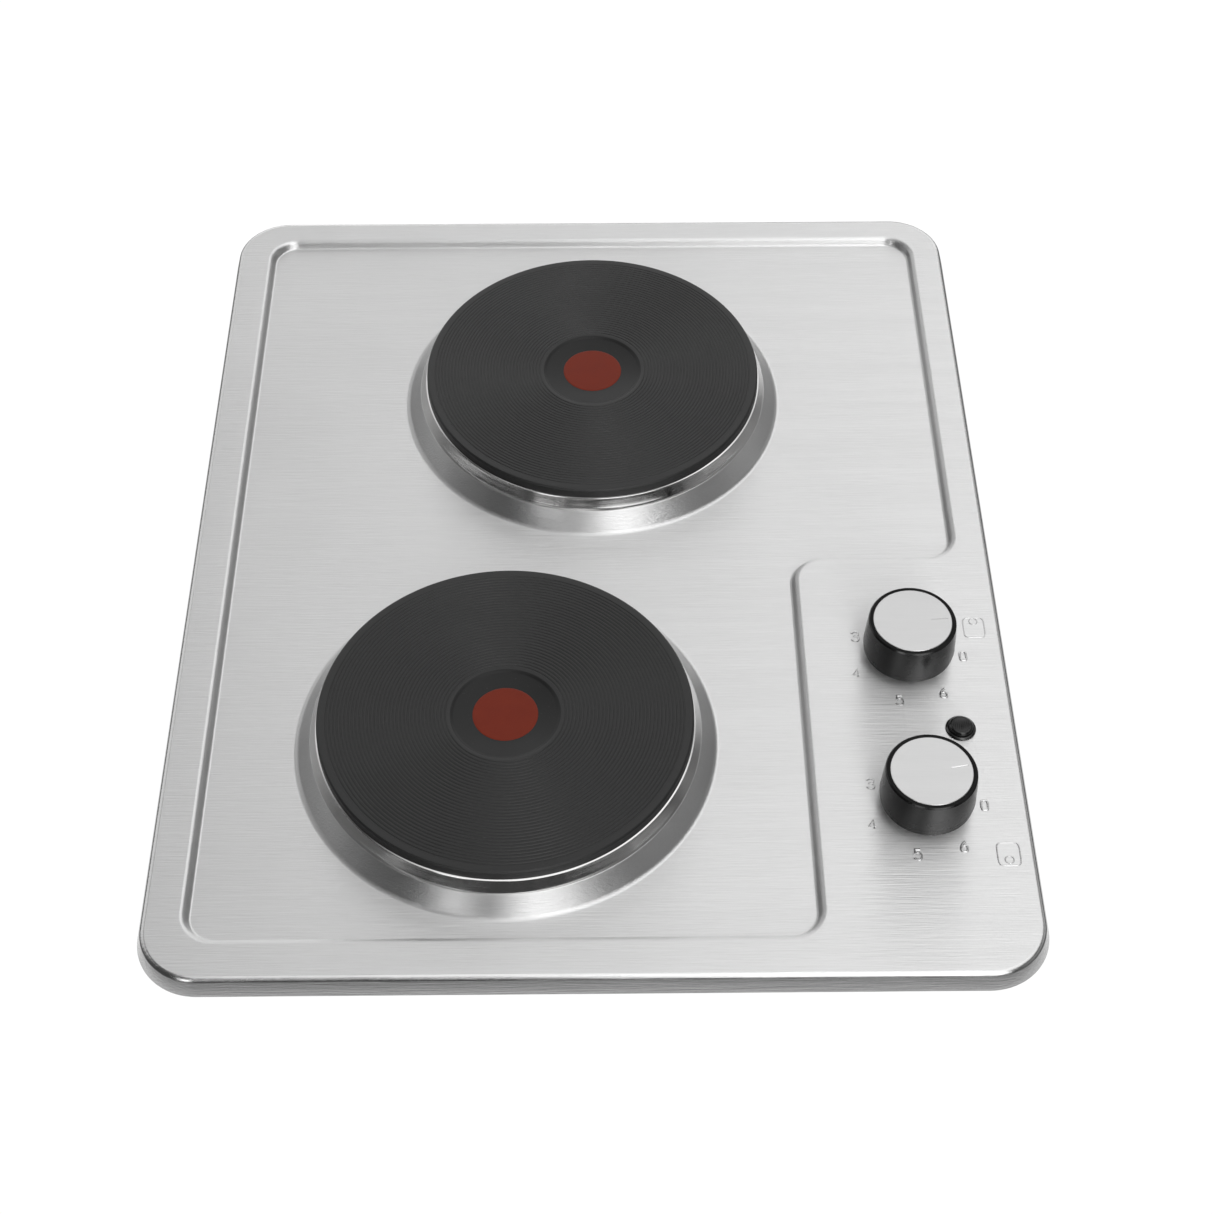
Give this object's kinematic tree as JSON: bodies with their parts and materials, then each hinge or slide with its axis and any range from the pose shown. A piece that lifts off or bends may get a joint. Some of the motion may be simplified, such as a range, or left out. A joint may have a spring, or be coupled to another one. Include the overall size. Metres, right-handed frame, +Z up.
{
  "type": "built-in electric hob",
  "caption": "Built-in electric hob: brushed stainless top with a rolled rim and recess, sealed cast-iron hotplates, rotary knobs, pilot lamp, vented casing and worktop clamps.",
  "frame": {"origin": "under the middle of the hob, at the underside of its casing", "axes": "+Z up, +Y from the front to the back, +X to the right as the cook stands; the controls are at the front right"},
  "size_m": [0.41, 0.51, 0.08],
  "materials": {
    "stainless_top": "brushed along X",
    "polished_trim": "polished",
    "cast_iron_plate": "matt black, fine concentric grooves",
    "red_enamel": "satin red enamel",
    "knob_black": "fine moulded grain",
    "knob_silver": "fine brushed",
    "lamp_black": "gloss",
    "lamp_lens_dark": "gloss, ribbed",
    "lamp_glass": "clear",
    "seal_foam": "closed-cell foam",
    "seal_rubber": "matt",
    "casing_steel": "galvanised",
    "zinc_steel": "zinc plated",
    "clamp_steel": "passivated zinc",
    "coil_wire": "oxidised resistance alloy",
    "ceramic_packing": "matt",
    "terminal_ceramic": "unglazed",
    "switch_plastic": "moulded",
    "contact_brass": "bright",
    "loom_sleeve": "woven glass sleeve"
  },
  "bodies": {
    "hob": {"bottom_casing": "casing_steel", "cable_gland": "switch_plastic", "case_pillars": "zinc_steel", "casing_screws": "zinc_steel", "clamp_screws": "zinc_steel", "earth_stud": "contact_brass", "front_clamp_bridge": "casing_steel", "front_heater_cover": "casing_steel", "front_heater_packing": "ceramic_packing", "front_heating_coils": "coil_wire", "front_hotplate": "cast_iron_plate", "front_plate_loom": "loom_sleeve", "front_plate_terminals": "terminal_ceramic", "front_red_spot": "red_enamel", "front_shaft_seal": "seal_rubber", "front_switch_body": "terminal_ceramic", "front_switch_contacts": "contact_brass", "front_switch_cover": "switch_plastic", "front_thermal_cutout": "switch_plastic", "front_trim_ring": "polished_trim", "heat_shield": "casing_steel", "hob_top": "stainless_top", "lamp_bezel": "lamp_black", "lamp_clip": "zinc_steel", "lamp_lens": "lamp_lens_dark", "lamp_neon": "lamp_glass", "mains_loom": "loom_sleeve", "mains_terminal_block": "switch_plastic", "rear_clamp_bridge": "casing_steel", "rear_heater_cover": "casing_steel", "rear_heater_packing": "ceramic_packing", "rear_heating_coils": "coil_wire", "rear_hotplate": "cast_iron_plate", "rear_plate_loom": "loom_sleeve", "rear_plate_terminals": "terminal_ceramic", "rear_red_spot": "red_enamel", "rear_shaft_seal": "seal_rubber", "rear_switch_body": "terminal_ceramic", "rear_switch_contacts": "contact_brass", "rear_switch_cover": "switch_plastic", "rear_thermal_cutout": "switch_plastic", "rear_trim_ring": "polished_trim", "rim_seal": "seal_foam", "stud_nuts": "zinc_steel", "switch_bracket": "casing_steel", "switch_screws": "zinc_steel", "terminal_pins": "contact_brass", "terminal_screws": "contact_brass"},
    "front_knob": {"front_knob_body": "knob_black", "front_knob_cap": "knob_silver", "front_knob_clip": "zinc_steel", "front_switch_shaft": "zinc_steel"},
    "rear_knob": {"rear_knob_body": "knob_black", "rear_knob_cap": "knob_silver", "rear_knob_clip": "zinc_steel", "rear_switch_shaft": "zinc_steel"},
    "clamp_front_left": {"clamp_front_left": "clamp_steel"},
    "clamp_front_right": {"clamp_front_right": "clamp_steel"},
    "clamp_rear_left": {"clamp_rear_left": "clamp_steel"},
    "clamp_rear_right": {"clamp_rear_right": "clamp_steel"}
  },
  "joints": [
    {"name": "front_knob_turn", "type": "hinge", "parent": "hob", "child": "front_knob", "pos_m": [0.1545, -0.163, 0.06], "axis": [0, 0, 1], "continuous": true},
    {"name": "rear_knob_turn", "type": "hinge", "parent": "hob", "child": "rear_knob", "pos_m": [0.1545, -0.0745, 0.06], "axis": [0, 0, 1], "continuous": true},
    {"name": "clamp_front_left_swivel", "type": "hinge", "parent": "hob", "child": "clamp_front_left", "pos_m": [-0.1862, -0.14, 0.0082], "axis": [0, 0, 1], "range_deg": [0, 90]},
    {"name": "clamp_front_right_swivel", "type": "hinge", "parent": "hob", "child": "clamp_front_right", "pos_m": [0.1862, -0.14, 0.0082], "axis": [0, 0, -1], "range_deg": [0, 90]},
    {"name": "clamp_rear_left_swivel", "type": "hinge", "parent": "hob", "child": "clamp_rear_left", "pos_m": [-0.1862, 0.14, 0.0082], "axis": [0, 0, 1], "range_deg": [0, 90]},
    {"name": "clamp_rear_right_swivel", "type": "hinge", "parent": "hob", "child": "clamp_rear_right", "pos_m": [0.1862, 0.14, 0.0082], "axis": [0, 0, -1], "range_deg": [0, 90]}
  ]
}
